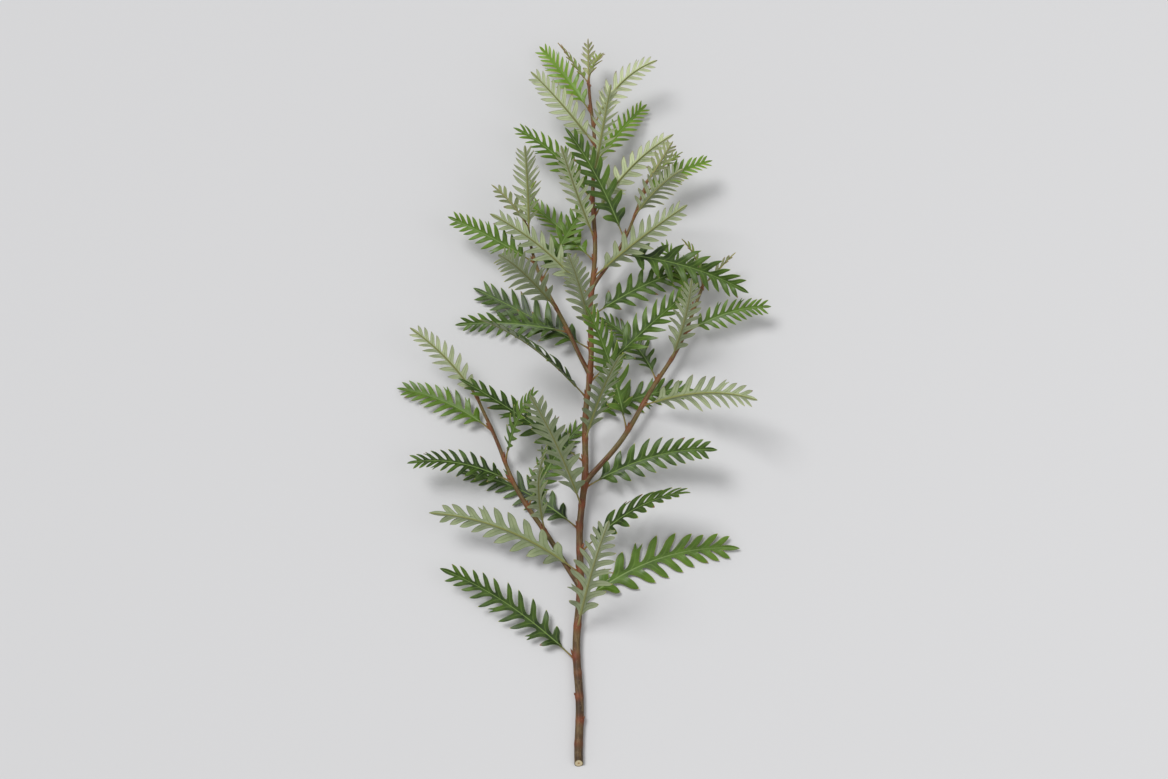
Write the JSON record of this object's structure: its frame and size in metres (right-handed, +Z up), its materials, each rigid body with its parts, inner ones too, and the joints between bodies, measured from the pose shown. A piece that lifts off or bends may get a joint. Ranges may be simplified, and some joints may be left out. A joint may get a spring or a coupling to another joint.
{
  "type": "cut grevillea foliage stem",
  "caption": "Cut leafy stem lying on a surface: a woody stem with side shoots carries fern-like leaves whose edges are cut deeply into narrow, forward-leaning lobes.",
  "frame": {"origin": "on the small flat under the cut end of the stem, at the height of the surface it lies on", "axes": "+Y along the stem from the cut end to the tip, +Z up from the surface, +X to the right when the tip points away"},
  "size_m": [0.3638, 0.7158, 0.1393],
  "materials": {
    "bark": "matte young bark, reddish brown below and olive above, paler at the slanted cut",
    "leaf": "leathery, softly glossy green above and felted silvery grey-green below",
    "young_leaf": "soft young yellow-green leaf, silky below"
  },
  "bodies": {
    "root": {"main_leaf_01": "leaf", "main_leaf_02": "leaf", "main_leaf_03": "leaf", "main_leaf_04": "leaf", "main_leaf_05": "leaf", "main_leaf_06": "leaf", "main_leaf_07": "leaf", "main_leaf_08": "leaf", "main_leaf_09": "leaf", "main_leaf_10": "leaf", "main_leaf_11": "leaf", "main_leaf_12": "leaf", "main_leaf_13": "leaf", "main_leaf_14": "leaf", "main_leaf_15": "leaf", "main_leaf_16": "leaf", "main_leaf_17": "leaf", "main_leaf_18": "leaf", "main_leaf_19": "leaf", "main_leaf_20": "leaf", "main_leaf_21": "leaf", "main_leaf_22": "leaf", "main_leaf_23": "leaf", "main_leaf_24": "leaf", "main_leaf_25": "leaf", "main_leaf_26": "leaf", "main_leaf_27": "leaf", "shoot_tip_1": "young_leaf", "shoot_tip_2": "young_leaf", "shoot_tip_3": "young_leaf", "shoot_tip_4": "young_leaf", "side_1_leaf_1": "leaf", "side_1_leaf_2": "leaf", "side_1_leaf_3": "leaf", "side_1_leaf_4": "leaf", "side_1_leaf_5": "leaf", "side_1_leaf_6": "leaf", "side_2_leaf_1": "leaf", "side_2_leaf_2": "leaf", "side_2_leaf_3": "leaf", "side_2_leaf_4": "leaf", "side_2_leaf_5": "leaf", "side_2_leaf_6": "leaf", "side_3_leaf_1": "leaf", "side_3_leaf_2": "leaf", "side_3_leaf_3": "leaf", "side_3_leaf_4": "leaf", "side_3_leaf_5": "leaf", "side_4_leaf_1": "leaf", "side_4_leaf_2": "leaf", "side_4_leaf_3": "leaf", "side_4_leaf_4": "leaf", "woody_stem": "bark"}
  },
  "joints": []
}
